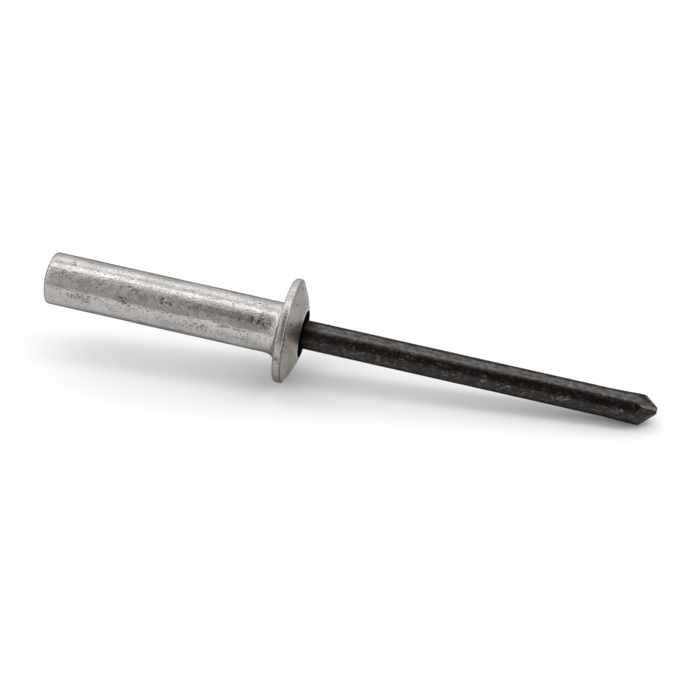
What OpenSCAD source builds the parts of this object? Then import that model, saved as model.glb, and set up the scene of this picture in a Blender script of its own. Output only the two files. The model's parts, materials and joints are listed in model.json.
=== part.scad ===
// Closed-end blind rivet as supplied: an aluminium cup shell with a domed flange,
// swaged over the headed steel mandrel that will pull it up and snap off.
// It lies as it rests, on the rim of its flange and on the tip of its mandrel.
// Origin: centre of the flange's seat face, on the rivet's axis. +X runs towards the mandrel's tip.

/* [Shell] */
// Diameter of the shell's body
shell_d = 4.8; // [4:0.05:6]
// Length of the body, from the flange's seat face to the crown of its closed end
shell_len = 22.35; // [12:0.05:32]
// Thickness of the closed end at its crown
end_wall = 1.1; // [0.5:0.05:2]
// Radius of the shallow crown on the closed end
end_crown_r = 5.4; // [4:0.1:12]
// Radius round the edge of the closed end
end_round = 0.35; // [0.1:0.05:0.8]

/* [Flange] */
// Diameter of the flange
flange_d = 9.6; // [8.2:0.1:12]
// Thickness of the flange's rim
rim_t = 0.8; // [0.6:0.05:1.2]
// Radius on the rim's edge at the seat side
rim_back_round = 0.35; // [0.1:0.05:0.4]
// Radius on the rim's edge at the dome side
rim_front_round = 0.2; // [0.05:0.05:0.3]
// Height of the domed head, from the seat face to the lip of its mouth
head_h = 1.8; // [1.3:0.05:2.4]
// Radius of the fillet between the body and the seat face
neck_fillet = 0.9; // [0.1:0.05:1]

/* [Mouth] */
// Diameter of the staked mouth at its lip
mouth_d = 4.3; // [3.8:0.05:5.4]
// Diameter of the mouth's floor
mouth_floor_d = 3.8; // [3.4:0.05:3.8]
// Depth of the mouth below its lip
mouth_depth = 1.2; // [0.4:0.05:1.6]

/* [Mandrel] */
// Diameter of the mandrel's wire
wire_d = 2.65; // [2:0.05:3.2]
// Free length of the mandrel, from the mouth's lip to its nose
free_len = 32.2; // [20:0.1:45]
// How far the mandrel's head stands out past the wire all round
head_step = 0.45; // [0.2:0.05:0.5]
// Length of the head's straight side
head_side = 1.5; // [0.8:0.1:3]
// Chamfer on the flat end of the head
head_chamfer = 0.2; // [0.05:0.05:0.4]
// Diameter left at the bottom of the break notch
notch_d = 1.9; // [1.2:0.05:1.95]

/* [Nipped tip] */
// Length of the four facets that the cutter leaves on the tip
tip_len = 1.95; // [0.6:0.05:3]
// Width of the blunt nose between the facets
nose_w = 0.45; // [0.3:0.05:1.2]
// How far the cutter leaves the nose above the axis, and as far behind it
nose_off = 0.15; // [0:0.01:0.2]
// How far the cutter swells the wire all round behind the facets
tip_swell = 0.08; // [0.01:0.01:0.2]
// Length of the swelling behind the facets
swell_len = 2.5; // [0.5:0.1:3]

/* [Fits] */
// Radial gap between the wire and the shell that is swaged round it
wire_gap = 0.01; // [0.005:0.005:0.05]
// Radial gap between the mandrel's head and its chamber
head_gap = 0.01; // [0.005:0.005:0.05]
// Gap along the axis between the head's cone and the shoulder that traps it
shoulder_gap = 0.01; // [0.005:0.005:0.05]

/* [Hidden] */
$fn = 96;

// Amount by which a cutting shape runs past the face that it opens
past = 1;

// Where round the axis the shell's turned faces begin. The shell is round, so this moves no surface
shell_turn = 9;

// Radii of what the diameters above drive
shell_r = shell_d / 2;
flange_r = flange_d / 2;
mouth_r = mouth_d / 2;
mouth_floor_r = mouth_floor_d / 2;
wire_r = wire_d / 2;
notch_r = notch_d / 2;
head_r = wire_r + head_step;
swell_r = wire_r + tip_swell;
nose_r = nose_w / 2;

// The crown is a sphere on the axis, and the closed end's round meets it and the body smoothly
end_crown_z = end_crown_r - shell_len;
end_corner_r = shell_r - end_round;
end_corner_z = end_crown_z
    - sqrt((end_crown_r - end_round) * (end_crown_r - end_round) - end_corner_r * end_corner_r);
end_meet_r = end_corner_r * end_crown_r / (end_crown_r - end_round);

// Heights along the axis, from the seat face towards the tip
mouth_floor_z = head_h - mouth_depth;
chamber_floor_z = end_wall - shell_len;
head_top_z = chamber_floor_z + head_side;
notch_z = head_top_z + head_r - notch_r;
notch_end_z = notch_z + wire_r - notch_r;
nose_z = head_h + free_len;
tip_z = nose_z - tip_len;
swell_z = tip_z - swell_len;

// Rim edge on the dome side, where the dome starts
rim_edge_r = flange_r - rim_front_round;
rim_edge_z = rim_t - rim_front_round;

// How far the dome's own edge is tucked into the rim's front round
dome_tuck = rim_front_round / 5;

// The dome is a sphere on the axis, through the mouth's lip and the rim's front edge
dome_centre_z = (head_h * head_h + mouth_r * mouth_r - rim_t * rim_t - rim_edge_r * rim_edge_r)
    / (2 * (head_h - rim_t));
dome_r = sqrt(mouth_r * mouth_r + (head_h - dome_centre_z) * (head_h - dome_centre_z));

// Lean at rest: the floor touches the rim's front round and the swollen tip
rest_run = tip_z - rim_edge_z;
rest_drop = rim_edge_r - swell_r;
rest_tilt = atan2(rest_drop, rest_run)
    + asin(rim_front_round / sqrt(rest_run * rest_run + rest_drop * rest_drop));

// Height of a tip facet at this distance from the axis, when the nose's edge is at that distance
function facet_z(r, nose_edge) = nose_z - tip_len * (r - nose_edge) / (swell_r - nose_edge);

// Lays a piece that is built upright, seat face at zero, in its resting attitude
module at_rest() {
    rotate([0, 90 + rest_tilt, 0]) children();
}

// Half section of the body, with its crowned and rounded closed end
module body_section() {
    translate([0, end_corner_z]) square([shell_r, -end_corner_z]);
    translate([end_corner_r, end_corner_z]) circle(end_round);
    intersection() {
        translate([0, end_crown_z]) circle(end_crown_r, $fn = 720);
        translate([0, -shell_len]) square([end_meet_r, shell_len]);
    }
}

// Half section of the fillet under the flange
module fillet_section() {
    difference() {
        translate([shell_r - past, -neck_fillet]) square([past + neck_fillet, neck_fillet + rim_back_round]);
        translate([shell_r + neck_fillet, -neck_fillet]) circle(neck_fillet);
    }
}

// Half section of the flange: a disc with two rounded edges under a shallow dome
module flange_section() {
    square([flange_r - rim_back_round, rim_edge_z]);
    translate([flange_r - rim_back_round, rim_back_round]) circle(rim_back_round);
    translate([0, rim_back_round]) square([flange_r, rim_edge_z - rim_back_round]);
    translate([rim_edge_r, rim_edge_z]) circle(rim_front_round);
    intersection() {
        translate([0, dome_centre_z]) circle(dome_r, $fn = 720);
        translate([0, rim_back_round]) square([rim_edge_r + dome_tuck, head_h]);
    }
}

// Half section of everything that is open inside the shell
module shell_hollow_section() {
    lip_slope = (mouth_r - mouth_floor_r) / mouth_depth;
    polygon([
        [0, mouth_floor_z],
        [mouth_floor_r, mouth_floor_z],
        [mouth_r + lip_slope * past, head_h + past],
        [0, head_h + past]
    ]);
    polygon([
        [0, chamber_floor_z],
        [head_r + head_gap, chamber_floor_z],
        [head_r + head_gap, head_top_z + shoulder_gap - head_gap],
        [wire_r + wire_gap, head_top_z + shoulder_gap + head_step - wire_gap],
        [wire_r + wire_gap, head_h],
        [0, head_h]
    ]);
}

// The side of the axis that is turned: the circles above run over it
module turned_side() {
    translate([0, -shell_len - past]) square([flange_d, shell_len + head_h + 2 * past]);
}

module shell() {
    color("#b3b1ad") at_rest() rotate([0, 0, shell_turn]) rotate_extrude() intersection() {
        difference() {
            union() {
                body_section();
                fillet_section();
                flange_section();
            }
            shell_hollow_section();
        }
        turned_side();
    }
}

// Half section of the mandrel: head, break notch, wire and swollen end
module mandrel_section() {
    polygon([
        [0, chamber_floor_z],
        [head_r - head_chamfer, chamber_floor_z],
        [head_r, chamber_floor_z + head_chamfer],
        [head_r, head_top_z],
        [notch_r, notch_z],
        [wire_r, notch_end_z],
        [wire_r, swell_z],
        [swell_r, tip_z],
        [swell_r, nose_z],
        [0, nose_z]
    ]);
}

// Wedge that leaves two opposite facets of the tip, wide enough to clear the rest of the mandrel.
// Its nose stands off the axis towards -X, so the facet on that side slants the less of the two
module tip_wedge() {
    wide = 2 * head_r;
    far_edge = nose_r + nose_off;
    near_edge = nose_r - nose_off;
    rotate([90, 0, 0]) linear_extrude(height = 2 * wide, center = true) polygon([
        [-wide, -shell_len],
        [wide, -shell_len],
        [wide, facet_z(wide, near_edge)],
        [near_edge, nose_z],
        [-far_edge, nose_z],
        [-wide, facet_z(wide, far_edge)]
    ]);
}

module mandrel() {
    color("#35312f") at_rest() intersection() {
        rotate_extrude() mandrel_section();
        tip_wedge();
        rotate([0, 0, -90]) tip_wedge();
    }
}

shell();
mandrel();
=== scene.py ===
import json
import math

import bpy
import numpy as np
from mathutils import Matrix, Vector, noise


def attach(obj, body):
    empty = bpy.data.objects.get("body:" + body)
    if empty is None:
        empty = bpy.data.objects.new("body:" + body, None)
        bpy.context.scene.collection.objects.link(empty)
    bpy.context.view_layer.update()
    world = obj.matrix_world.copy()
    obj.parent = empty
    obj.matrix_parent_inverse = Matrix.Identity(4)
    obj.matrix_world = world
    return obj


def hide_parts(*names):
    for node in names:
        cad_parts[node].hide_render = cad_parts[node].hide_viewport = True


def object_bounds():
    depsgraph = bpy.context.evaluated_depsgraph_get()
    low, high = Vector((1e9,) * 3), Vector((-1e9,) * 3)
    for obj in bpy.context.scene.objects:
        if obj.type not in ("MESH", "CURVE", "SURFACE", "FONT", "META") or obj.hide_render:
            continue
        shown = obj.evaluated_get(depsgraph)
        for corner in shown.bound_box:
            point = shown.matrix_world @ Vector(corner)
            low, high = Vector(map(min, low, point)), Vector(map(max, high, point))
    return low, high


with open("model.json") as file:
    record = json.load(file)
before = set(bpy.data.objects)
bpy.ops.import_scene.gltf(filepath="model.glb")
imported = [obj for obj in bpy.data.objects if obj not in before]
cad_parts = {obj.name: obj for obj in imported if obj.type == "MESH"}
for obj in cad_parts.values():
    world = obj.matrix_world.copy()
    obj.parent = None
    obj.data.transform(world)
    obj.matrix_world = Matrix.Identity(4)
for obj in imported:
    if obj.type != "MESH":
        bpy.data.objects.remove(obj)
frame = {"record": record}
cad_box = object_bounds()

# A closed-end blind rivet as it comes out of the box: an aluminium shell, tumbled grey and
# pitted, round a black drawn-steel mandrel with a nipped tip. It lies on a pale board.
# Every length below is in millimetres unless its name or comment says otherwise.

MM = 0.001

# A length too small to see, for telling places apart.
HAIR = 0.001

# ---- Where the rivet lies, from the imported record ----

mounts = {mount["name"]: mount for mount in frame["record"]["mounts"]}
ALONG = Vector(mounts["mandrel_grip"]["axis"]).normalized()
SIDE = Vector((0, 1, 0))
UP = ALONG.cross(SIDE)
LEAN = math.asin(-ALONG.z)

# ---- Sizes of the shell, measured along the rivet from the flange's seat face ----

BODY_R = mounts["shank"]["dims"]["r_mm"]
BODY_LENGTH = 22.35
END_ROUND = 0.35
CROWN_R = 5.4
NECK_FILLET = 1.3
FLANGE_R = 4.8
RIM_THICK = 0.8
RIM_BACK_ROUND = 0.35
RIM_FRONT_ROUND = 0.2
HEAD_HEIGHT = 1.8
LIP_R = 2.15
LIP_ROUND = 0.07
MOUTH_FLOOR_R = 1.9
MOUTH_FLOOR = HEAD_HEIGHT - 1.2

# ---- Sizes of the mandrel, and of the chamber that its head sits in ----

WIRE_R = 1.325
HEAD_R = WIRE_R + 0.45
HEAD_START = 1.1 - BODY_LENGTH
HEAD_TOP = HEAD_START + 1.5
HEAD_CHAMFER = 0.2
NOTCH_R = 0.95
NOTCH = HEAD_TOP + HEAD_R - NOTCH_R
NOTCH_END = NOTCH + WIRE_R - NOTCH_R
FIT_GAP = 0.01
BORE_R = WIRE_R + FIT_GAP
CHAMBER_R = HEAD_R + FIT_GAP
BORE_START = HEAD_TOP + HEAD_R - WIRE_R
NOSE = 34.0
NOSE_R = 0.225
NOSE_OFF = 0.15
NOSE_ROUND = 0.05
TIP_START = NOSE - 1.95
SWELL_START = TIP_START - 2.5
SWELL_R = WIRE_R + 0.08


# ---- Turned outlines ----

# How near the axis an outline stops, before a fan of faces closes it: on the crown, on the nose,
# and on the ends that are hidden inside.
CROWN_POLE = 0.1
NOSE_POLE = 0.08
HIDDEN_POLE = 0.2


def straight(start, end, step):
    """Points from start up to but not at end, no further apart than step."""
    count = max(1, math.ceil(math.dist(start, end) / step))
    return [tuple(np.array(start) + (np.array(end) - start) * k / count) for k in range(count)]


def arc(centre, radius, first_deg, last_deg, step):
    """Points round a corner, from angle first up to but not at angle last.

    An angle of 0 points along the rivet towards the tip, and 90 points away from its axis."""
    sweep = math.radians(last_deg - first_deg)
    count = max(2, math.ceil(abs(sweep) * radius / step))
    angles = [math.radians(first_deg) + sweep * k / count for k in range(count)]
    return [(centre[0] + radius * math.cos(a), centre[1] + radius * math.sin(a)) for a in angles]


def turned_grid(outline, around):
    """Grid of points, rings by columns by 3, for an outline of (along, radius) turned once round.

    A column's angle is measured from the top, over the side that faces -Y, and down."""
    angles = np.arange(around) * 2 * math.pi / around
    along, radius = np.array(outline).T
    grid = np.empty((len(outline), around, 3))
    grid[..., 0] = along[:, None]
    grid[..., 1] = -radius[:, None] * np.sin(angles)
    grid[..., 2] = radius[:, None] * np.cos(angles)
    return grid


def round_deg(grid):
    """Where each point of a turned grid stands round the axis, from 0 at the top to 90 in front."""
    return np.degrees(np.arctan2(-grid[..., 1], grid[..., 2]))


def away_from(turn, at):
    """How many degrees round the axis turn is from at, from -180 to 180."""
    return (turn - at + 180) % 360 - 180


def band(turn, at, spread):
    """Soft band that runs along the rivet: 1 where turn is at, and faint beyond spread degrees."""
    return np.exp(-(away_from(turn, at) / spread) ** 2)


def outline_normals(outline, around):
    """Outward normals of a turned grid, from the outline's own slope."""
    points = np.array(outline)
    slope = np.gradient(points, axis=0)
    slope /= np.linalg.norm(slope, axis=1)[:, None]
    angles = np.arange(around) * 2 * math.pi / around
    normals = np.empty((len(points), around, 3))
    normals[..., 0] = -slope[:, None, 1]
    normals[..., 1] = -slope[:, None, 0] * np.sin(angles)
    normals[..., 2] = slope[:, None, 0] * np.cos(angles)
    return normals


def closed_mesh(name, grid, start, end):
    """Object made from a grid whose open ends are closed by fans to the points start and end."""
    rings, around = grid.shape[:2]
    points = np.vstack([grid.reshape(-1, 3), [start, end]])
    first, last = rings * around, rings * around + 1
    faces = []
    for j in range(around):
        k = (j + 1) % around
        faces.append((first, k, j))
        faces.append((last, (rings - 1) * around + j, (rings - 1) * around + k))
        faces.extend(
            (i * around + j, i * around + k, (i + 1) * around + k, (i + 1) * around + j)
            for i in range(rings - 1)
        )
    placed = points @ np.array([ALONG, SIDE, UP]) * MM
    mesh = bpy.data.meshes.new(name)
    mesh.from_pydata(placed.tolist(), [], faces)
    mesh.polygons.foreach_set("use_smooth", [True] * len(mesh.polygons))
    mesh.update()
    made = bpy.data.objects.new(name, mesh)
    bpy.context.scene.collection.objects.link(made)
    return made


def paint(made, name, values):
    """Stores one number per grid point on the object, for its material; the two end points get 0."""
    layer = made.data.attributes.new(name, "FLOAT", "POINT")
    layer.data.foreach_set("value", np.append(values.ravel(), [0.0, 0.0]).astype(np.float32))


# ---- Wear ----

# How many pits are thrown in a patch of thickness 1, and how much their widths vary, and their
# lengths against their widths.
PITS_IN_PATCH = 30
PIT_WIDTHS = (0.6, 1.5)
PIT_LENGTHS = (0.8, 2.2)

# A mark has faded out this many half lengths from its middle.
MARK_REACH = 3


def lumps(grid, size, seed, stretch=1.0):
    """Soft random heights from about -1 to 1, with bumps of this size, drawn out along the rivet."""
    scaled = grid.reshape(-1, 3) / (size * stretch, size, size) + seed * np.array((17.3, 5.1, 9.7))
    heights = [noise.noise(Vector(point)) for point in scaled]
    return np.array(heights).reshape(grid.shape[:2])


def ripple(grid, waves):
    """Heights of several kinds of lumps together, each given as (height, size, seed, stretch)."""
    return sum(height * lumps(grid, size, seed, stretch) for height, size, seed, stretch in waves)


def crowding(grid, patches):
    """How thickly pits crowd, from 0 to 1, over a turned grid.

    A patch is (along, round_deg, spread_along, spread_round_deg, thickness)."""
    turn = round_deg(grid)
    thick = np.zeros(grid.shape[:2])
    for along, at, spread_along, spread_turn, most in patches:
        off = away_from(turn, at)
        thick = np.maximum(thick, most * np.exp(
            -0.5 * ((grid[..., 0] - along) / spread_along) ** 2 - 0.5 * (off / spread_turn) ** 2
        ))
    return thick


def scatter(draw, patches, size):
    """Marks as rows of (along, round_deg, half_length, half_width), thrown at random in patches."""
    marks = []
    for along, turn, spread_along, spread_turn, most in patches:
        for _ in range(round(PITS_IN_PATCH * most)):
            width = size * draw.uniform(*PIT_WIDTHS)
            place, at = draw.normal(along, spread_along), draw.normal(turn, spread_turn)
            marks.append((place, at, width * draw.uniform(*PIT_LENGTHS), width))
    return marks


def press(grid, marks, radius):
    """How deep in the marks each point of a turned grid lies, from 0 outside to 1 in the middle."""
    hollow = np.zeros(grid.shape[:2])
    turn = round_deg(grid)
    for along, at, half_length, half_width in marks:
        rows = np.abs(grid[:, 0, 0] - along) < MARK_REACH * half_length
        if not rows.any():
            continue
        off = away_from(turn[rows], at)
        x = (grid[rows, :, 0] - along) / half_length
        y = np.radians(off) * radius / half_width
        hollow[rows] = np.maximum(hollow[rows], np.exp(-(x * x + y * y)))
    return hollow


def dab(grid, spots):
    """Soft round spots from 0 to 1, each given as (along, out_from_axis, round_deg, size, strength)."""
    spotted = np.zeros(grid.shape[:2])
    for along, out, at, size, strength in spots:
        angle = math.radians(at)
        middle = (along, -out * math.sin(angle), out * math.cos(angle))
        off = np.linalg.norm(grid - middle, axis=2) / size
        spotted = np.maximum(spotted, strength * np.exp(-off * off))
    return spotted


# ---- Materials ----

def linear(colour):
    """Linear colour with full alpha for an sRGB hex string."""
    parts = [int(colour[k:k + 2], 16) / 255 for k in (1, 3, 5)]
    return tuple(p / 12.92 if p <= 0.04045 else ((p + 0.055) / 1.055) ** 2.4 for p in parts) + (1.0,)


def add(tree, kind, inputs=None, **settings):
    """Adds a node, sets its properties, and feeds each input from a value or another node's socket."""
    made = tree.nodes.new(kind)
    for name, value in settings.items():
        setattr(made, name, value)
    for name, source in (inputs or {}).items():
        socket = made.inputs[name]
        if isinstance(source, bpy.types.NodeSocket):
            tree.links.new(source, socket)
        else:
            socket.default_value = source
    return made


def blank_material(name):
    """A new material and its emptied node tree."""
    material = bpy.data.materials.new(name)
    material.use_nodes = True
    material.node_tree.nodes.clear()
    return material, material.node_tree


def rivet_millimetres(tree):
    """Coordinates in millimetres, with X along the rivet from the seat face."""
    place = add(tree, "ShaderNodeTexCoord")
    level = add(tree, "ShaderNodeMapping", {
        "Vector": place.outputs["Object"],
        "Rotation": (0.0, -LEAN, 0.0),
        "Scale": (1 / MM, 1 / MM, 1 / MM),
    })
    return level.outputs["Vector"]


def grain(tree, coordinates, size, stretch=1.0, detail=2.0, roughness=0.5):
    """Noise with features of about size millimetres, drawn out along the rivet."""
    scaled = add(tree, "ShaderNodeMapping", {
        "Vector": coordinates,
        "Scale": (1 / (size * stretch), 1 / size, 1 / size),
    })
    return add(tree, "ShaderNodeTexNoise", {
        "Vector": scaled.outputs["Vector"],
        "Scale": 1.0,
        "Detail": detail,
        "Roughness": roughness,
    }).outputs["Fac"]


def ramp(tree, value, low, high, to_low=0.0, to_high=1.0):
    """Value carried smoothly from the range low..high to the range to_low..to_high."""
    return add(tree, "ShaderNodeMapRange", {
        "Value": value,
        "From Min": low,
        "From Max": high,
        "To Min": to_low,
        "To Max": to_high,
    }, interpolation_type="SMOOTHSTEP").outputs["Result"]


def painted(tree, name):
    """The numbers that paint() stored on the object under this name."""
    return add(tree, "ShaderNodeAttribute", attribute_name=name).outputs["Fac"]


def blend(tree, share, under, over):
    """Colour under, covered by colour over as far as share says. A colour may be a hex string."""
    under, over = (linear(c) if isinstance(c, str) else c for c in (under, over))
    return add(tree, "ShaderNodeMix", {0: share, 6: under, 7: over}, data_type="RGBA").outputs[2]


def bump(tree, depth, height, normal=None, invert=False):
    """Normal of a surface that rises depth millimetres where height is 1, over another normal."""
    inputs = {"Strength": 1.0, "Distance": depth * MM, "Height": height}
    if normal is not None:
        inputs["Normal"] = normal
    return add(tree, "ShaderNodeBump", inputs, invert=invert).outputs[0]


# Fine pits and oxide shade one another where a surface is seen at a low angle, so these worn
# metals don't brighten there as a polished one would. Coined metal has fewer, and loses less.
LOW_ANGLE_LOSS = (0.25, 0.25, 0.25, 1.0)
COINED_LOSS = (0.75, 0.75, 0.75, 1.0)


def tumbled_aluminium():
    """Soft aluminium, impact-extruded and tumbled: a satin grey skin, peened and streaked along
    its length, a softer and more even sheen where it is coined, and black grit in its pits. A paler
    band low on the body's front is painted light, a darker tone on the body and flange is partly
    grimy and partly painted shade, and the black inside its mouth is an oily deposit and painted shade."""
    material, tree = blank_material("tumbled_aluminium")
    at = rivet_millimetres(tree)
    peening = grain(tree, at, 0.28, 2.0, 3.0, 0.55)
    streaks = grain(tree, at, 0.14, 9.0, 2.0, 0.5)
    clouds = grain(tree, at, 1.3, 1.6, 2.0, 0.5)
    fine = grain(tree, at, 0.15, 1.4, 2.0, 0.6)
    dirt = painted(tree, "dirt")
    pitting = painted(tree, "pitting")
    grime = painted(tree, "grime")
    oil = painted(tree, "oil")
    coined = painted(tree, "coined")
    rubbed = painted(tree, "rubbed")

    crowded = add(tree, "ShaderNodeMath", {0: pitting, 1: 0.2, 2: fine}, operation="MULTIPLY_ADD")
    specks = ramp(tree, crowded.outputs[0], 0.67, 0.76, 0.0, 0.8)
    dark = add(tree, "ShaderNodeMath", {0: specks, 1: dirt}, operation="MAXIMUM").outputs[0]

    skin = blend(tree, ramp(tree, clouds, 0.35, 0.65), "#bab7b4", "#a9a6a3")
    grained = blend(tree, ramp(tree, fine, 0.45, 0.65, 0.0, 0.4), skin, "#7d7a76")
    # Painted light: the paler band low on the body's front.
    brightened = blend(tree, rubbed, grained, "#e0ddd9")
    # Darker tone: painted shade on the body, and partly grimy, partly painted shade on the flange.
    shaded = blend(tree, grime, brightened, "#6f6860")
    # Black grit in pits and marks, a dark line where the dome meets the rim, and painted shade inside
    # the mouth.
    colour = blend(tree, dark, shaded, "#3a3733")
    # Black inside the mouth: an oily deposit and painted shade.
    mouth_darkened = blend(tree, oil, colour, "#120f0e")
    loss = blend(tree, coined, LOW_ANGLE_LOSS, COINED_LOSS)
    satin = ramp(tree, peening, 0.35, 0.65, 0.15, 0.24)
    rough = add(tree, "ShaderNodeMath", {0: coined, 1: 0.14, 2: satin}, operation="MULTIPLY_ADD")

    drawn = bump(tree, 0.008, streaks)
    peened = bump(tree, 0.020, peening, drawn)
    pitted = bump(tree, 0.020, dark, peened, invert=True)
    shader = add(tree, "ShaderNodeBsdfPrincipled", {
        "Base Color": mouth_darkened,
        "Metallic": 1.0,
        "Roughness": rough.outputs[0],
        "Specular Tint": loss,
        "Normal": pitted,
    })
    add(tree, "ShaderNodeOutputMaterial", {"Surface": shader.outputs[0]})
    return material


def blackened_steel():
    """Drawn steel wire, phosphated black and oily: near black with a soft shine, fine lines
    along its length, grey flecks, and bare grey where it has worn on other rivets. Its upper side
    and, more faintly, its lower front are painted greyer as painted sheen, the edges of its nipped
    tip carry a painted highlight, and near the mouth it is painted black, as grit and painted shade."""
    material, tree = blank_material("blackened_steel")
    at = rivet_millimetres(tree)
    lines = grain(tree, at, 0.09, 9.0, 2.0, 0.5)
    crust = grain(tree, at, 0.22, 1.3, 3.0, 0.6)
    clouds = grain(tree, at, 0.40, 1.5, 3.0, 0.65)
    flecks = grain(tree, at, 0.24, 1.5, 2.0, 0.6)
    dirt = painted(tree, "dirt")
    rubbed = painted(tree, "rubbed")
    handled = painted(tree, "handled")

    # Painted sheen: greyer on the wire's upper side and, fainter, low in front.
    skin = blend(tree, handled, "#2d2a28", "#55504d")
    mottled = blend(tree, ramp(tree, clouds, 0.42, 0.6, 0.0, 0.5), skin, "#25211f")
    flecked = blend(tree, ramp(tree, flecks, 0.52, 0.70, 0.0, 0.38), mottled, "#77726e")
    # Bare grey where the black has worn, and a painted highlight along the tip's facet edges.
    ragged = add(tree, "ShaderNodeMath", {0: rubbed, 1: 0.7, 2: crust}, operation="MULTIPLY_ADD")
    bared = blend(tree, ramp(tree, ragged.outputs[0], 0.7, 1.0, 0.0, 0.6), flecked, "#77726e")
    # Black grit in pits, and painted shade where the wire leaves the mouth.
    colour = blend(tree, dirt, bared, "#181514")

    drawn = bump(tree, 0.004, lines)
    crusted = bump(tree, 0.020, crust, drawn)
    shader = add(tree, "ShaderNodeBsdfPrincipled", {
        "Base Color": colour,
        "Metallic": 0.85,
        "Roughness": ramp(tree, lines, 0.3, 0.7, 0.16, 0.23),
        "Specular Tint": LOW_ANGLE_LOSS,
        "Normal": crusted,
    })
    add(tree, "ShaderNodeOutputMaterial", {"Surface": shader.outputs[0]})
    return material


def matt_board():
    """Smooth matt white card, which takes the shadow and throws soft light up under the rivet."""
    material, tree = blank_material("matt_board")
    shader = add(tree, "ShaderNodeBsdfDiffuse", {"Color": linear("#fafafa"), "Roughness": 0.5})
    add(tree, "ShaderNodeOutputMaterial", {"Surface": shader.outputs[0]})
    return material


# ---- The shell ----

# Columns round the shell, and the longest steps of its outline: on the body, on rounds and inside.
SHELL_AROUND = 300
BODY_STEP = 0.115
FINE_STEP = 0.07
HIDDEN_STEP = 2.0


def dome():
    """Centre along the axis and radius of the ball that the domed head is part of."""
    edge_r, edge = FLANGE_R - RIM_FRONT_ROUND, RIM_THICK
    centre = (HEAD_HEIGHT ** 2 + LIP_R ** 2 - edge ** 2 - edge_r ** 2) / (2 * (HEAD_HEIGHT - edge))
    return centre, math.hypot(LIP_R, HEAD_HEIGHT - centre)


def shell_outline():
    """Outline of the shell from the closed end's centre, over the outside, to the chamber's floor."""
    centre, radius = dome()
    crown_centre = CROWN_R - BODY_LENGTH
    corner_r = BODY_R - END_ROUND
    corner = crown_centre - math.sqrt((CROWN_R - END_ROUND) ** 2 - corner_r ** 2)
    pole_angle = 180 - math.degrees(CROWN_POLE / CROWN_R)
    corner_angle = 180 - math.degrees(math.asin(corner_r / (CROWN_R - END_ROUND)))
    lip_angle = math.degrees(math.atan2(LIP_R + LIP_ROUND, HEAD_HEIGHT - centre))
    edge_angle = math.degrees(math.atan2(FLANGE_R - RIM_FRONT_ROUND, RIM_THICK - centre))
    outline = arc((crown_centre, 0), CROWN_R, pole_angle, corner_angle, step=0.12)
    outline += arc((corner, corner_r), END_ROUND, corner_angle, 90, FINE_STEP)
    outline += straight((corner, BODY_R), (-NECK_FILLET, BODY_R), BODY_STEP)
    outline += arc((-NECK_FILLET, BODY_R + NECK_FILLET), NECK_FILLET, 270, 360, FINE_STEP)
    outline += straight((0, BODY_R + NECK_FILLET), (0, FLANGE_R - RIM_BACK_ROUND), step=0.12)
    outline += arc((RIM_BACK_ROUND, FLANGE_R - RIM_BACK_ROUND), RIM_BACK_ROUND, 180, 90, FINE_STEP)
    outline += straight((RIM_BACK_ROUND, FLANGE_R), (RIM_THICK - RIM_FRONT_ROUND, FLANGE_R), FINE_STEP)
    outline += arc(
        (RIM_THICK - RIM_FRONT_ROUND, FLANGE_R - RIM_FRONT_ROUND),
        RIM_FRONT_ROUND, 90, edge_angle, step=0.04,
    )
    outline += arc((centre, 0), radius, edge_angle, lip_angle, step=0.09)
    outline += arc((HEAD_HEIGHT - LIP_ROUND, LIP_R + LIP_ROUND), LIP_ROUND, 0, -90, step=0.02)
    outline += straight((HEAD_HEIGHT - LIP_ROUND, LIP_R), (MOUTH_FLOOR, MOUTH_FLOOR_R), step=0.1)
    outline += straight((MOUTH_FLOOR, MOUTH_FLOOR_R), (MOUTH_FLOOR, BORE_R), step=0.15)
    outline += straight((MOUTH_FLOOR, BORE_R), (BORE_START, BORE_R), HIDDEN_STEP)
    outline += straight((BORE_START, BORE_R), (HEAD_TOP, CHAMBER_R), HIDDEN_STEP)
    outline += straight((HEAD_TOP, CHAMBER_R), (HEAD_START, CHAMBER_R), HIDDEN_STEP)
    outline += straight((HEAD_START, CHAMBER_R), (HEAD_START, HIDDEN_POLE), HIDDEN_STEP)
    outline.append((HEAD_START, HIDDEN_POLE))
    return outline


# Where pits crowd on the body: along, round_deg, spread_along, spread_round_deg, thickness.
# A turn of 0 is the top and 90 the front.
SHELL_PITTING = [
    (-19.7, 9, 0.3, 7, 0.8),
    (-20.2, 40, 0.4, 4, 1.0),
    (-19.1, 36, 0.4, 3, 0.5),
    (-18.9, 84, 0.6, 5, 1.0),
    (-17.9, 92, 0.3, 10, 0.9),
    (-16.0, 35, 0.9, 4, 0.5),
    (-13.7, 41, 0.3, 3, 0.8),
    (-14.3, 71, 0.3, 6, 1.0),
    (-10.6, 54, 0.5, 4, 0.6),
    (-12.0, 85, 1.4, 10, 0.5),
    (-6.9, 86, 0.35, 4, 1.0),
    (-5.3, 75, 0.25, 2, 0.9),
    (-3.8, 75, 0.2, 3, 0.6),
    (-2.6, 4, 0.8, 8, 0.7),
    (-1.9, 45, 0.5, 5, 0.8),
    (-0.6, 104, 0.15, 5, 0.8),
    (-8.0, 92, 1.6, 9, 0.65),
    (-3.6, 95, 1.3, 8, 0.6),
    (-17.0, 180, 2.0, 30, 0.5),
    (-6.0, 200, 1.5, 20, 0.5),
    (-13.0, 290, 1.2, 15, 0.6),
    (-4.0, 300, 1.2, 15, 0.5),
]

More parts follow.
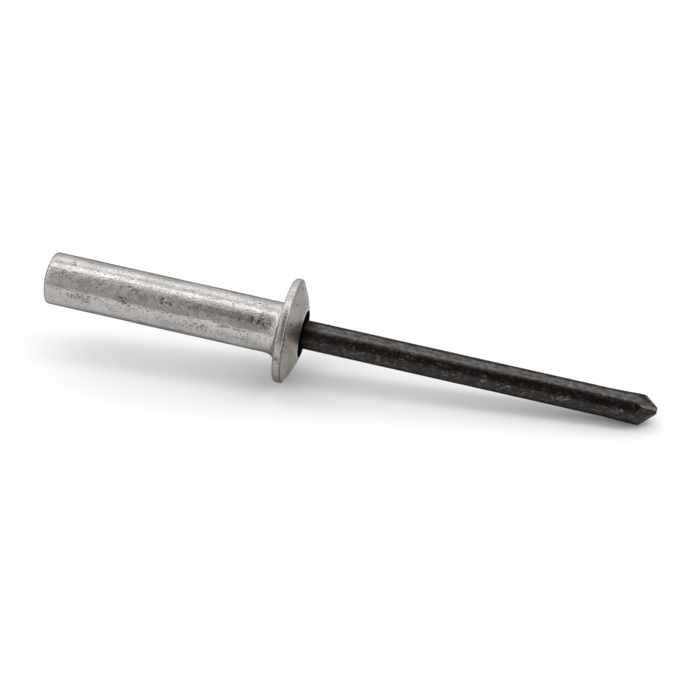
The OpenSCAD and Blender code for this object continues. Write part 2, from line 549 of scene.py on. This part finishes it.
# Single deep marks on the body: along, round_deg, half_length, half_width.
SHELL_NICKS = [
    (-18.66, 77, 0.14, 0.07),
    (-18.97, 82, 0.10, 0.06),
    (-17.77, 90, 0.12, 0.09),
    (-17.53, 86, 0.08, 0.06),
    (-17.73, 107, 0.05, 0.16),
    (-20.25, 40, 0.09, 0.06),
    (-13.70, 41, 0.16, 0.06),
    (-13.97, 77, 0.13, 0.08),
    (-14.35, 70, 0.14, 0.10),
    (-14.65, 63, 0.16, 0.08),
    (-10.13, 53, 0.14, 0.08),
    (-9.90, 35, 0.10, 0.06),
    (-8.40, 66, 0.07, 0.05),
    (-6.97, 85, 0.09, 0.07),
    (-7.16, 89, 0.09, 0.07),
    (-5.21, 73, 0.14, 0.05),
    (-5.55, 78, 0.10, 0.05),
    (-3.75, 75, 0.10, 0.05),
    (-1.84, 31, 0.05, 0.26),
    (-1.90, 47, 0.16, 0.12),
    (-1.72, 83, 0.08, 0.06),
    (-0.55, 104, 0.12, 0.08),
]

# Faint drawing lines along the body: along, round_deg, half_length, half_width, and how high,
# where a line below 0 is a groove.
SHELL_LINES = [
    (-5.6, 39, 4.5, 0.06, 0.010),
    (-5.6, 49, 4.5, 0.06, -0.016),
    (-12.0, 24, 5.0, 0.06, 0.006),
    (-15.5, 50, 3.0, 0.05, -0.008),
]

# Where the body is darkened by a soft painted shade, as SHELL_PITTING.
SHELL_SHADE = [
    (-17.6, 119, 1.0, 6, 0.2),
    (-12.4, 118, 0.7, 5, 0.3),
    (-10.5, 118, 0.4, 5, 0.3),
    (-8.7, 118, 0.9, 5, 0.2),
    (-21.2, 92, 0.6, 9, 0.4),
    (-18.2, 84, 1.1, 9, 0.35),
    (-10.5, 90, 2.5, 14, 0.2),
    (-14.5, 66, 0.9, 8, 0.3),
    (-4.5, 49, 2.5, 2, 0.5),
    (-8.0, 40, 3.0, 3, 0.3),
    (-11.0, 84, 8.0, 7, 0.2),
]

# Dents and dirt on the flange and its fillet: along, out from the axis, round_deg, size, strength.
FLANGE_DABS = [
    (-0.50, 2.6, 98, 0.14, 1.0),
    (0.80, 4.60, 78, 0.20, 1.0),
    (0.40, 4.80, 88, 0.24, 1.0),
    (0.65, 4.75, 93, 0.12, 1.0),
    (0.85, 4.50, 64, 0.20, 0.8),
    (0.85, 4.50, 71, 0.16, 0.9),
    (1.05, 4.10, 74, 0.12, 0.9),
    (1.15, 3.95, 16, 0.14, 0.7),
    (1.60, 2.90, 24, 0.12, 0.8),
    (1.10, 4.05, 47, 0.14, 0.8),
    (1.05, 4.15, -18, 0.20, 0.9),
    (1.20, 3.90, 58, 0.12, 0.6),
    (0.75, 4.65, -5, 0.12, 0.6),
    (0.50, 4.80, 200, 0.20, 0.9),
    (1.30, 3.60, 170, 0.18, 0.6),
    (0.50, 4.80, 290, 0.16, 0.8),
]

# The lower front of the body is painted a little brighter over a soft band, as painted light: most
# of all near the flange. The last of these gives how much at each end of the stretch given before it.
SHELL_PAINTED_LIGHT_AT = 117
SHELL_PAINTED_LIGHT_SPREAD = 11
SHELL_PAINTED_LIGHT_GROWS = (-20.0, -1.0)
SHELL_PAINTED_LIGHT = (0.25, 0.6)

# The fillet under the flange has its full size, NECK_FILLET, below in front. It is drawn tight at
# the top and back. Where it is full it also runs out a little wider on the flange.
TIGHT_FILLET = 0.35
FULL_FILLET_AT = 120
FULL_FILLET_SPREAD = 70
FILLET_FLARE = 0.2

# The closed end is a little smoother from here to its crown, where the forming die held it.
# HELD_SHARE of its waves are left there, and they come in again over HELD_FADE.
HELD_END = -20.3
HELD_SHARE = 0.3
HELD_FADE = 0.3

# The die's edge left a faint groove there.
GROOVE_WIDTH = 0.07
GROOVE_DEPTH = 0.008

# Waves in the body's skin: height, size, seed and stretch along the rivet.
SHELL_WAVES = [
    (0.013, 1.3, 1, 2.5),
    (0.007, 0.5, 2, 3.0),
    (0.003, 0.3, 7, 8.0),
]

# How high the waves on the flange stand, and how far in the skin is drawn on the body and on the
# flange, so that the waves keep close to the shell's true size.
FLANGE_WAVE = 0.008
BODY_INSET = 0.010
FLANGE_INSET = 0.012

# How wide a thrown pit is, how deep a mark goes, and how much of that a pit and a nick reach.
SHELL_PIT_SIZE = 0.045
SHELL_MARK_DEPTH = 0.020
PIT_SHARE = 0.5
NICK_SHARE = 0.9

# How dark the grit is in marks and in the groove, how dark the line where the dome meets the rim
# is painted, how wide that line is, and how far out from the axis it may lie.
MARK_DIRT = 0.8
GROOVE_DIRT = 0.2
RIM_LINE_DARK = 0.4
RIM_LINE_WIDTH = 0.06
RIM_LINE_FROM = FLANGE_R - 0.25

# How thickly fine specks crowd on plain skin, and in the dabs.
PLAIN_PITTING = 0.2
DAB_PITTING = 0.9

# The darkening on the flange, partly grimy and partly painted shade, changes round this side over
# a soft band: it thins out on the dome, and thickens on the rest of the flange and most of all on
# the line where the dome meets the rim.
FLANGE_SHADE_AT = 120
FLANGE_SHADE_SPREAD = 55
FLANGE_SHADE = 0.5
RIM_LINE_SHADE = 0.9

# The dome is coined, and the rest of the flange half as much.
COINED_FADE = 0.2
REST_COINED = 0.5

# Past this far from the axis the shell is finished as flange, which takes in most of the fillet.
FLANGE_FROM = BODY_R + 0.3

# The black inside the mouth, an oily deposit and painted shade, comes in over this many rings of its
# outline.
MOUTH_FADE = 3


def vary_fillet(grid, outline):
    """Draws the fillet under the flange in towards its corner, most of all away from its full side."""
    ring = np.array(outline)
    rows = (ring[:, 0] > -NECK_FILLET - HAIR) & (ring[:, 0] < HAIR)
    rows &= (ring[:, 1] > BODY_R - HAIR) & (ring[:, 1] < BODY_R + NECK_FILLET + HAIR)
    off = away_from(round_deg(grid[rows]), FULL_FILLET_AT)
    full = np.exp(-0.5 * (off / FULL_FILLET_SPREAD) ** 2)
    share = (TIGHT_FILLET + (NECK_FILLET - TIGHT_FILLET) * full) / NECK_FILLET
    radius = np.hypot(grid[rows, :, 1], grid[rows, :, 2])
    grid[rows, :, 0] *= share
    flare = 1 + FILLET_FLARE * full
    grid[rows, :, 1:] *= ((BODY_R + (radius - BODY_R) * share * flare) / radius)[..., None]


def build_shell():
    """The shell, with its wear in its surface and painted on for its material."""
    outline = shell_outline()
    grid = turned_grid(outline, SHELL_AROUND)
    normals = outline_normals(outline, SHELL_AROUND)
    vary_fillet(grid, outline)
    along = grid[..., 0]
    radius = np.hypot(grid[..., 1], grid[..., 2])
    index = np.arange(len(outline))[:, None] * np.ones(SHELL_AROUND)
    lip = max(k for k, p in enumerate(outline) if p[0] > HEAD_HEIGHT - 0.5 * LIP_ROUND)
    outside = index < lip
    on_body = outside & (radius < BODY_R + 0.01)
    on_flange = radius > FLANGE_FROM

    draw = np.random.default_rng(7)
    ragged = np.clip(1 + 1.2 * lumps(grid, 0.13, 9), 0.2, 1.6)
    pits = press(grid, scatter(draw, SHELL_PITTING, SHELL_PIT_SIZE), BODY_R)
    nicks = press(grid, SHELL_NICKS, BODY_R)
    marks = np.clip(np.maximum(PIT_SHARE * pits, NICK_SHARE * nicks) * ragged, 0, 1)
    groove = np.exp(-((along - HELD_END) / GROOVE_WIDTH) ** 2)
    groove = groove * np.clip(lumps(grid, 0.7, 8) + 0.6, 0, 1)
    waves = ripple(grid, SHELL_WAVES)
    for *line, height in SHELL_LINES:
        waves += height * press(grid, [line], BODY_R)
    worn = np.clip((along - HELD_END) / HELD_FADE, HELD_SHARE, 1)
    body_relief = waves * worn - SHELL_MARK_DEPTH * marks - GROOVE_DEPTH * groove - BODY_INSET
    dabs = np.clip(dab(grid, FLANGE_DABS) * ragged, 0, 1) * outside
    flange_relief = FLANGE_WAVE * lumps(grid, 0.8, 3) - FLANGE_INSET - SHELL_MARK_DEPTH * dabs
    relief = np.where(on_body, body_relief, np.where(outside, flange_relief, 0.0))
    grid = grid + normals * relief[..., None]
    made = closed_mesh("shell_body", grid, (outline[0][0], 0, 0), (outline[-1][0], 0, 0))

    # Inside the mouth it is painted black, partly an oily deposit and partly painted shade.
    inside = np.clip((index - lip) / MOUTH_FADE, 0, 1)
    # A dark line is painted where the dome meets the rim.
    rim_line = np.exp(-((along - RIM_THICK) / RIM_LINE_WIDTH) ** 2)
    rim_line = rim_line * (radius > RIM_LINE_FROM) * outside
    dirt = np.where(on_body, MARK_DIRT * marks + GROOVE_DIRT * groove, MARK_DIRT * dabs)
    dirt = np.maximum(dirt, RIM_LINE_DARK * rim_line * np.clip(0.8 + lumps(grid, 0.5, 10), 0, 1))
    paint(made, "dirt", np.maximum(dirt, inside))
    paint(made, "oil", inside)

    crowded = np.maximum(crowding(grid, SHELL_PITTING), PLAIN_PITTING * worn)
    paint(made, "pitting", np.where(on_body, crowded, DAB_PITTING * dabs))

    # Darker tone: painted shade on the body; on the flange partly grimy and partly painted shade, set
    # by side.
    turn = round_deg(grid)
    low = band(turn, FLANGE_SHADE_AT, FLANGE_SHADE_SPREAD)
    on_dome = outside & (along > RIM_THICK)
    flange_shading = np.where(on_dome, FLANGE_SHADE - FLANGE_SHADE * low, FLANGE_SHADE * low * on_flange)
    flange_shading = np.maximum(flange_shading, RIM_LINE_SHADE * low * rim_line)
    paint(made, "grime", np.where(on_body, crowding(grid, SHELL_SHADE), flange_shading))

    coined = np.clip((along - RIM_THICK + COINED_FADE / 2) / COINED_FADE, 0, 1) * outside
    paint(made, "coined", np.maximum(coined, REST_COINED * on_flange * outside))

    # Painted light: the body's lower front is painted paler over a soft band.
    rubbed = band(turn, SHELL_PAINTED_LIGHT_AT, SHELL_PAINTED_LIGHT_SPREAD)
    rubbed *= np.interp(along, SHELL_PAINTED_LIGHT_GROWS, SHELL_PAINTED_LIGHT)
    rubbed *= np.clip(1 + 0.5 * lumps(grid, 0.5, 14, 3.0), 0, 1.3)
    paint(made, "rubbed", np.where(on_body, rubbed, 0.0))
    return made


# ---- The mandrel ----

# Columns round the mandrel.
MANDREL_AROUND = 168


def mandrel_outline():
    """Outline of the mandrel from its head's flat end to the middle of its nose, before the nip."""
    outline = straight((HEAD_START, HIDDEN_POLE), (HEAD_START, HEAD_R - HEAD_CHAMFER), step=0.4)
    outline += straight(
        (HEAD_START, HEAD_R - HEAD_CHAMFER), (HEAD_START + HEAD_CHAMFER, HEAD_R), step=0.1,
    )
    outline += straight((HEAD_START + HEAD_CHAMFER, HEAD_R), (HEAD_TOP, HEAD_R), step=0.4)
    outline += straight((HEAD_TOP, HEAD_R), (NOTCH, NOTCH_R), step=0.2)
    outline += straight((NOTCH, NOTCH_R), (NOTCH_END, WIRE_R), step=0.1)
    outline += straight((NOTCH_END, WIRE_R), (MOUTH_FLOOR, WIRE_R), HIDDEN_STEP)
    outline += straight((MOUTH_FLOOR, WIRE_R), (SWELL_START, WIRE_R), step=0.09)
    outline += straight((SWELL_START, WIRE_R), (TIP_START, SWELL_R), step=0.06)
    outline += straight((TIP_START, SWELL_R), (NOSE - NOSE_ROUND, SWELL_R), step=0.03)
    outline += arc((NOSE - NOSE_ROUND, SWELL_R - NOSE_ROUND), NOSE_ROUND, 90, 0, step=0.02)
    outline += straight((NOSE, SWELL_R - NOSE_ROUND), (NOSE, NOSE_POLE), step=0.08)
    outline.append((NOSE, NOSE_POLE))
    return outline


# Where the wire is pocked, as SHELL_PITTING.
MANDREL_PITTING = [
    (6.5, 90, 1.2, 5, 0.5),
    (28.4, 55, 0.2, 5, 0.3),
    (17.0, 170, 6.0, 30, 0.7),
    (17.0, 270, 6.0, 30, 0.7),
]

# Single nicks in the wire: along, round_deg, half_length, half_width.
MANDREL_NICKS = [
    (5.80, 86, 0.10, 0.08),
    (5.85, 95, 0.08, 0.08),
    (6.20, 48, 0.09, 0.06),
    (7.20, 91, 0.14, 0.05),
    (8.30, 92, 0.16, 0.05),
    (7.90, 30, 0.10, 0.06),
    (28.4, 55, 0.10, 0.16),
    (20.4, 20, 0.5, 0.03),
    (22.2, 16, 0.6, 0.03),
]

# Where the black has been rubbed pale, as MANDREL_NICKS.
MANDREL_RUBS = [
    (5.8, 102, 0.50, 0.05),
    (6.8, 88, 0.60, 0.05),
    (7.4, 98, 0.40, 0.05),
    (12.1, 38, 0.30, 0.08),
    (11.5, 50, 0.30, 0.08),
    (11.0, 66, 0.35, 0.06),
    (13.9, 65, 0.25, 0.12),
    (15.0, 46, 0.25, 0.10),
    (16.3, 65, 0.45, 0.07),
    (16.8, 74, 0.30, 0.05),
    (18.6, 60, 0.40, 0.12),
    (18.4, 81, 0.25, 0.10),
    (20.8, 80, 0.30, 0.12),
    (25.3, 58, 0.30, 0.06),
    (26.1, 72, 0.12, 0.22),
    (25.3, 84, 0.45, 0.06),
    (24.3, 104, 0.40, 0.06),
    (27.4, 79, 0.06, 0.45),
    (31.0, 71, 0.16, 0.12),
    (12.0, 200, 0.4, 0.3),
    (23.0, 250, 0.5, 0.2),
    (19.0, 310, 0.3, 0.3),
]

# Where the black is scuffed a little greyer, as SHELL_PITTING.
MANDREL_SCUFFS = [
    (6.5, 88, 1.3, 12, 0.4),
    (11.8, 58, 0.9, 10, 0.35),
    (18.6, 66, 0.7, 10, 0.4),
    (25.7, 74, 0.7, 12, 0.5),
    (29.5, 78, 1.0, 10, 0.2),
    (14.5, 52, 1.2, 5, 0.3),
    (9.0, 92, 0.8, 12, 0.25),
    (21.5, 60, 0.8, 8, 0.2),
    (15.0, 190, 5.0, 30, 0.5),
    (24.0, 280, 4.0, 30, 0.5),
]

# The upper side of the wire is painted a little greyer, as painted sheen: where that
# band's middle is and how far it spreads, in degrees, near the flange and then near the tip. It
# changes from the one to the other over the stretch along the rivet given third, and wanders by
# about the degrees given last.
PAINTED_SHEEN_AT = (15, 10)
PAINTED_SHEEN_SPREAD = (23, 18)
PAINTED_SHEEN_NARROWS = (17.0, 24.0)
PAINTED_SHEEN_WANDER = 8

# The lower front is painted greyer too, as a fainter painted sheen, over a band that fades more slowly.
LOW_SHEEN_AT = 114
LOW_SHEEN_SPREAD = 20
LOW_SHEEN = 0.45

# Waves in the wire's skin, as SHELL_WAVES, and how far in the skin is drawn, so that the waves
# keep close to the wire's true size.
WIRE_WAVES = [
    (0.006, 0.5, 4, 3.0),
    (0.003, 0.15, 5, 6.0),
]
WIRE_INSET = 0.008

# How wide a thrown pit is, and how deep a mark goes.
WIRE_PIT_SIZE = 0.04
WIRE_MARK_DEPTH = 0.012

# The wire is painted black where it comes out of the mouth, as grit and painted shade, up to this far
# past the lip.
ROOT_SHADE_REACH = 1.6
ROOT_SHADE_FADE = 1.5

# How soft the edges between the tip's facets are, where along the rivet the nip may begin, and a
# distance at which a facet has no more say.
FACET_SOFT = 0.02
NIP_FROM = TIP_START - 0.5
OUT_OF_PLAY = 10

# A painted highlight along those edges: how wide it is, and wider on the top facet, and how bright.
EDGE_HIGHLIGHT_WIDTH = 0.1
TOP_EDGE_HIGHLIGHT_WIDTH = 0.35
EDGE_HIGHLIGHT = 0.9


def facets(grid):
    """The top, lower, back and front facet of the tip, for every point of a turned grid: how far
    out the point is towards the facet, and how far out the facet itself is.

    The nose stands off the axis towards the top and the back."""
    front, up = -grid[..., 1], grid[..., 2]
    far_edge, near_edge = NOSE_R + NOSE_OFF, NOSE_R - NOSE_OFF
    return [
        (toward, edge + (NOSE - grid[..., 0]) * (SWELL_R - edge) / (NOSE - TIP_START))
        for toward, edge in ((up, far_edge), (-up, near_edge), (-front, far_edge), (front, near_edge))
    ]


def nip(grid):
    """How far each point of a turned grid is drawn in to the facets of the tip, their edges soft."""
    radius = np.hypot(grid[..., 1], grid[..., 2])
    total = np.exp(-radius / FACET_SOFT)
    for toward, reach in facets(grid):
        limit = reach * radius / np.maximum(toward, HAIR)
        total += np.exp(-np.minimum(limit, OUT_OF_PLAY) / FACET_SOFT)
    cut = -FACET_SOFT * np.log(total)
    return np.where(grid[..., 0] > NIP_FROM, np.minimum(cut, radius) / radius, 1.0)


def facet_edges(grid):
    """Where the edges between the tip's facets run over the finished grid, from 0 to 1."""
    room = np.array([reach - toward for toward, reach in facets(grid)])
    second = np.sort(room, axis=0)[1]
    width = np.where(np.argmin(room, axis=0) == 0, TOP_EDGE_HIGHLIGHT_WIDTH, EDGE_HIGHLIGHT_WIDTH)
    return np.where(grid[..., 0] > TIP_START, np.exp(-(second / width) ** 2), 0.0)


def build_mandrel():
    """The mandrel, with its tip nipped and its wear in its surface and painted on."""
    outline = mandrel_outline()
    grid = turned_grid(outline, MANDREL_AROUND)
    normals = outline_normals(outline, MANDREL_AROUND)
    along = grid[..., 0]
    draw = np.random.default_rng(11)
    pits = scatter(draw, MANDREL_PITTING, WIRE_PIT_SIZE)
    marks = press(grid, pits + MANDREL_NICKS, WIRE_R)
    shown = np.clip((along - MOUTH_FLOOR - 0.2) / 0.5, 0, 1) * (along < TIP_START)
    relief = shown * (ripple(grid, WIRE_WAVES) - WIRE_INSET - WIRE_MARK_DEPTH * marks)
    grid = grid + normals * relief[..., None]
    scale = nip(grid)
    # The rings of the blunt nose all shrink by what the facets leave at its very end.
    nose_rows = np.array(outline)[:, 0] > NOSE - NOSE_ROUND - HAIR
    at_nose = grid[np.argmax(nose_rows)][None].copy()
    at_nose[..., 0] = NOSE
    scale[nose_rows] = nip(at_nose)
    grid[..., 1:] *= scale[..., None]
    made = closed_mesh("mandrel_wire", grid, (outline[0][0], 0, 0), (NOSE, 0, 0))

    # Near the mouth the wire is painted black, as grit and painted shade.
    root = np.clip((HEAD_HEIGHT + ROOT_SHADE_REACH - along) / ROOT_SHADE_FADE, 0, 1)
    paint(made, "dirt", np.maximum(marks * shown, root))

    rubs = press(grid, MANDREL_RUBS, WIRE_R) * np.clip(0.9 + 1.2 * lumps(grid, 0.16, 12), 0.1, 1.3)
    rubs = np.maximum(rubs, crowding(grid, MANDREL_SCUFFS))
    # Pale where the black has worn, and a painted highlight along the edges of the tip's facets.
    paint(made, "rubbed", np.maximum(shown * rubs, EDGE_HIGHLIGHT * facet_edges(grid)))

    # Painted sheen: the upper side is painted greyer, and the lower front faintly so.
    turn = round_deg(grid)
    off = away_from(turn, np.interp(along, PAINTED_SHEEN_NARROWS, PAINTED_SHEEN_AT))
    off += PAINTED_SHEEN_WANDER * lumps(grid, 0.3, 13, 2.0)
    spread = np.interp(along, PAINTED_SHEEN_NARROWS, PAINTED_SHEEN_SPREAD)
    low_sheen = LOW_SHEEN * band(turn, LOW_SHEEN_AT, LOW_SHEEN_SPREAD)
    paint(made, "handled", np.maximum(np.exp(-(off / spread) ** 4), low_sheen) * (1 - root))
    return made


# ---- The studio ----

# How far the board reaches each way, in metres.
BOARD_REACH = 4.0


def build_floor(height):
    """The pale board, level, with its face at this height in metres."""
    corners = [(-1, -1), (1, -1), (1, 1), (-1, 1)]
    mesh = bpy.data.meshes.new("board")
    mesh.from_pydata([(BOARD_REACH * x, BOARD_REACH * y, 0) for x, y in corners], [], [(0, 1, 2, 3)])
    floor = bpy.data.objects.new("board", mesh)
    floor.location.z = height
    bpy.context.scene.collection.objects.link(floor)
    floor.data.materials.append(matt_board())
    return floor


# How bright the light tent is, by degrees from straight up round towards the camera: a far wall
# that is palest low down, two strips of light between it and the top, and a dimmer near side.
TENT = [
    (-180, 0.7), (-100, 0.7), (-86, 1.7), (-68, 1.15), (-46, 1.95), (-36, 1.95), (-28, 1.15),
    (-19, 1.15), (-13, 2.4), (-4, 2.4), (8, 0.95), (56, 0.95), (76, 0.7), (90, 0.55), (180, 0.7),
]
TENT_MOST = 2.5

# The camera and the hands that hold it shade this part of the near side: how far to the rivet's
# tip side and how many degrees from straight up, and how far the shade reaches each way.
SHADE_MIDDLE = (0.14, 51)
SHADE_REACH = (0.26, 40)

# How bright the air is in the middle of that shade, against the rest.
SHADE_LEVEL = 0.06


def studio_air():
    """The light tent round the rivet, as the sky of the scene."""
    world = bpy.data.worlds.new("light_tent")
    bpy.context.scene.world = world
    world.use_nodes = True
    tree = world.node_tree
    tree.nodes.clear()
    way = add(tree, "ShaderNodeTexCoord").outputs["Generated"]
    parts = add(tree, "ShaderNodeSeparateXYZ", {"Vector": way})
    near = add(tree, "ShaderNodeMath", {0: parts.outputs["Y"], 1: -1.0}, operation="MULTIPLY")
    turn = add(tree, "ShaderNodeMath", {0: near.outputs[0], 1: parts.outputs["Z"]}, operation="ARCTAN2")
    degrees = add(tree, "ShaderNodeMath", {0: turn.outputs[0]}, operation="DEGREES").outputs[0]
    share = add(tree, "ShaderNodeMapRange", {
        "Value": degrees,
        "From Min": -180.0,
        "From Max": 180.0,
    })
    tent = add(tree, "ShaderNodeValToRGB", {"Fac": share.outputs["Result"]})
    stops = tent.color_ramp.elements
    while len(stops) < len(TENT):
        stops.new(0.5)
    for stop, (place, level) in zip(stops, TENT):
        stop.position = (place + 180) / 360
        stop.color = (level / TENT_MOST,) * 3 + (1.0,)
    flat = add(tree, "ShaderNodeCombineXYZ", {"X": parts.outputs["X"], "Y": degrees})
    scaled = add(tree, "ShaderNodeVectorMath", {
        0: flat.outputs[0],
        1: (1 / SHADE_REACH[0], 1 / SHADE_REACH[1], 0.0),
    }, operation="MULTIPLY")
    away = add(tree, "ShaderNodeVectorMath", {
        0: scaled.outputs[0],
        1: (SHADE_MIDDLE[0] / SHADE_REACH[0], SHADE_MIDDLE[1] / SHADE_REACH[1], 0.0),
    }, operation="DISTANCE")
    shade = ramp(tree, away.outputs["Value"], 0.8, 1.15, SHADE_LEVEL * TENT_MOST, TENT_MOST)
    air = add(tree, "ShaderNodeBackground", {"Color": tent.outputs["Color"], "Strength": shade})
    add(tree, "ShaderNodeOutputWorld", {"Surface": air.outputs[0]})


# The camera: degrees round to the tip's side and degrees up, how far off it is, how far to the
# right of the seat face's centre and up from it the camera aims, and the length of its lens.
CAMERA_TURN = 13.08
CAMERA_RISE = 35.53
CAMERA_DISTANCE = 250
CAMERA_AIM = (5.884, -1.822)
CAMERA_LENS = 143.3


def place_camera():
    """Looks at the rivet from in front, a little round to the tip's side and from above."""
    turn, height = math.radians(CAMERA_TURN), math.radians(CAMERA_RISE)
    distance = CAMERA_DISTANCE * MM
    aim_right, aim_up = CAMERA_AIM[0] * MM, CAMERA_AIM[1] * MM
    back = Vector((
        math.sin(turn) * math.cos(height),
        -math.cos(turn) * math.cos(height),
        math.sin(height),
    ))
    right = Vector((math.cos(turn), math.sin(turn), 0))
    up = back.cross(right)
    data = bpy.data.cameras.new("camera")
    data.sensor_width = 36
    data.lens = CAMERA_LENS
    data.clip_start = 0.01
    data.clip_end = 10
    camera = bpy.data.objects.new("camera", data)
    camera.matrix_world = Matrix((right, up, back)).transposed().to_4x4()
    camera.location = back * distance + right * aim_right + up * aim_up
    bpy.context.scene.collection.objects.link(camera)
    bpy.context.scene.camera = camera


place_camera()
studio_air()
build_floor(cad_box[0].z)

shell = build_shell()
shell.data.materials.append(tumbled_aluminium())
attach(shell, "root")
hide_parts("shell")

mandrel = build_mandrel()
mandrel.data.materials.append(blackened_steel())
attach(mandrel, "root")
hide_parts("mandrel")

bpy.context.scene.view_settings.view_transform = "Standard"
